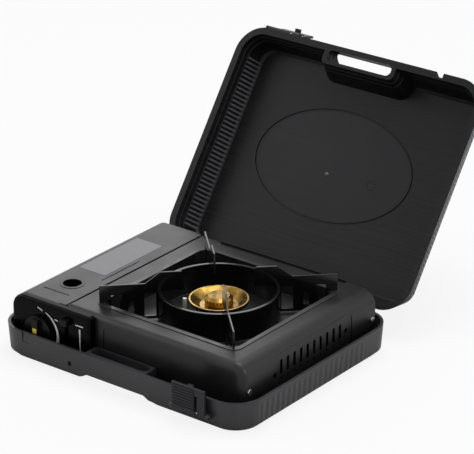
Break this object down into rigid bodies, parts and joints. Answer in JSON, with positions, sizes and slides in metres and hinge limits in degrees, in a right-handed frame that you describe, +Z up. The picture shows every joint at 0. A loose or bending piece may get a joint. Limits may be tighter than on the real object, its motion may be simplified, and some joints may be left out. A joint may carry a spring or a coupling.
{
  "type": "butane cassette stove",
  "caption": "Portable tabletop gas stove in the open lower half of its hinged carry case, with pan trivet, drip tray, cartridge bay, knob and lock lever.",
  "frame": {"origin": "on the table under the middle of the carry case's lower shell", "axes": "+X to the user's right, +Y away from the user towards the case hinge, +Z up; the knob faces -Y"},
  "size_m": [0.3746, 0.5518, 0.28],
  "materials": {
    "case_plastic": "satin",
    "latch_plastic": "satin",
    "hinge_steel": "satin",
    "body_paint": "satin",
    "pan_steel": "satin",
    "feet_rubber": "matte",
    "fascia_plastic": "gloss",
    "knob_plastic": "gloss",
    "mark_paint": "gloss",
    "lever_plastic": "satin",
    "brass": "satin",
    "die_cast": "cast",
    "tray_enamel": "satin",
    "trivet_enamel": "gloss",
    "ceramic": "gloss"
  },
  "bodies": {
    "case": {"case_base": "case_plastic", "hinge_pins": "hinge_steel", "base_latch_pin": "hinge_steel"},
    "lid": {"case_lid": "case_plastic", "lid_latch_pin": "hinge_steel"},
    "front_latch": {"base_latch": "latch_plastic"},
    "upper_latch": {"lid_latch": "latch_plastic"},
    "stove": {"top_shell": "body_paint", "base_pan": "pan_steel", "rubber_feet": "feet_rubber", "cover_pins": "hinge_steel", "knob_fascia": "fascia_plastic", "heat_shield": "pan_steel", "regulator": "die_cast", "regulator_bracket": "pan_steel", "gas_pipe": "brass", "jet_block": "brass", "mixing_tube": "die_cast", "burner_body": "die_cast", "burner_bracket": "pan_steel", "burner_head": "brass", "spark_electrode": "ceramic", "electrode_bracket": "pan_steel", "igniter": "fascia_plastic", "drip_tray": "tray_enamel", "side_screws": "hinge_steel"},
    "cover": {"cartridge_cover": "body_paint"},
    "control_knob": {"knob": "knob_plastic", "knob_mark": "mark_paint", "knob_stem": "brass"},
    "lever": {"lock_lever": "lever_plastic"},
    "carriage": {"cartridge_carriage": "pan_steel"},
    "trivet": {"trivet_ring": "trivet_enamel", "trivet_fin_front_left": "trivet_enamel", "trivet_fin_front_right": "trivet_enamel", "trivet_fin_rear_right": "trivet_enamel", "trivet_fin_rear_left": "trivet_enamel"}
  },
  "joints": [
    {"name": "lid_hinge", "type": "hinge", "parent": "case", "child": "lid", "pos_m": [0, 0.1565, 0.0335], "axis": [-1, 0, 0], "range_deg": [-95, 0]},
    {"name": "front_latch_hinge", "type": "hinge", "parent": "case", "child": "front_latch", "pos_m": [0.11525, -0.1557, 0.017], "axis": [1, 0, 0], "range_deg": [0, 95]},
    {"name": "upper_latch_hinge", "type": "hinge", "parent": "lid", "child": "upper_latch", "pos_m": [-0.13925, 0.36064, 0.27109], "axis": [1, 0, 0], "range_deg": [0, 160]},
    {"name": "stove_lift", "type": "slide", "parent": "case", "child": "stove", "axis": [0, 0, 1], "range_m": [0, 0.12]},
    {"name": "cover_hinge", "type": "hinge", "parent": "stove", "child": "cover", "pos_m": [-0.09925, 0, 0.0724], "axis": [0, 1, 0], "range_deg": [0, 85]},
    {"name": "knob_turn", "type": "hinge", "parent": "stove", "child": "control_knob", "pos_m": [-0.12875, -0.1365, 0.036], "axis": [0, 1, 0], "range_deg": [0, 110]},
    {"name": "lever_slide", "type": "slide", "parent": "stove", "child": "lever", "axis": [0, 0, -1], "range_m": [0, 0.024]},
    {"name": "carriage_slide", "type": "slide", "parent": "stove", "child": "carriage", "axis": [0, -1, 0], "range_m": [0, 0.008]},
    {"name": "trivet_lift", "type": "slide", "parent": "stove", "child": "trivet", "axis": [0, 0, 1], "range_m": [0, 0.08]}
  ],
  "couplings": [
    {"joint": "carriage_slide", "follows": "lever_slide", "ratio": 0.3333}
  ]
}
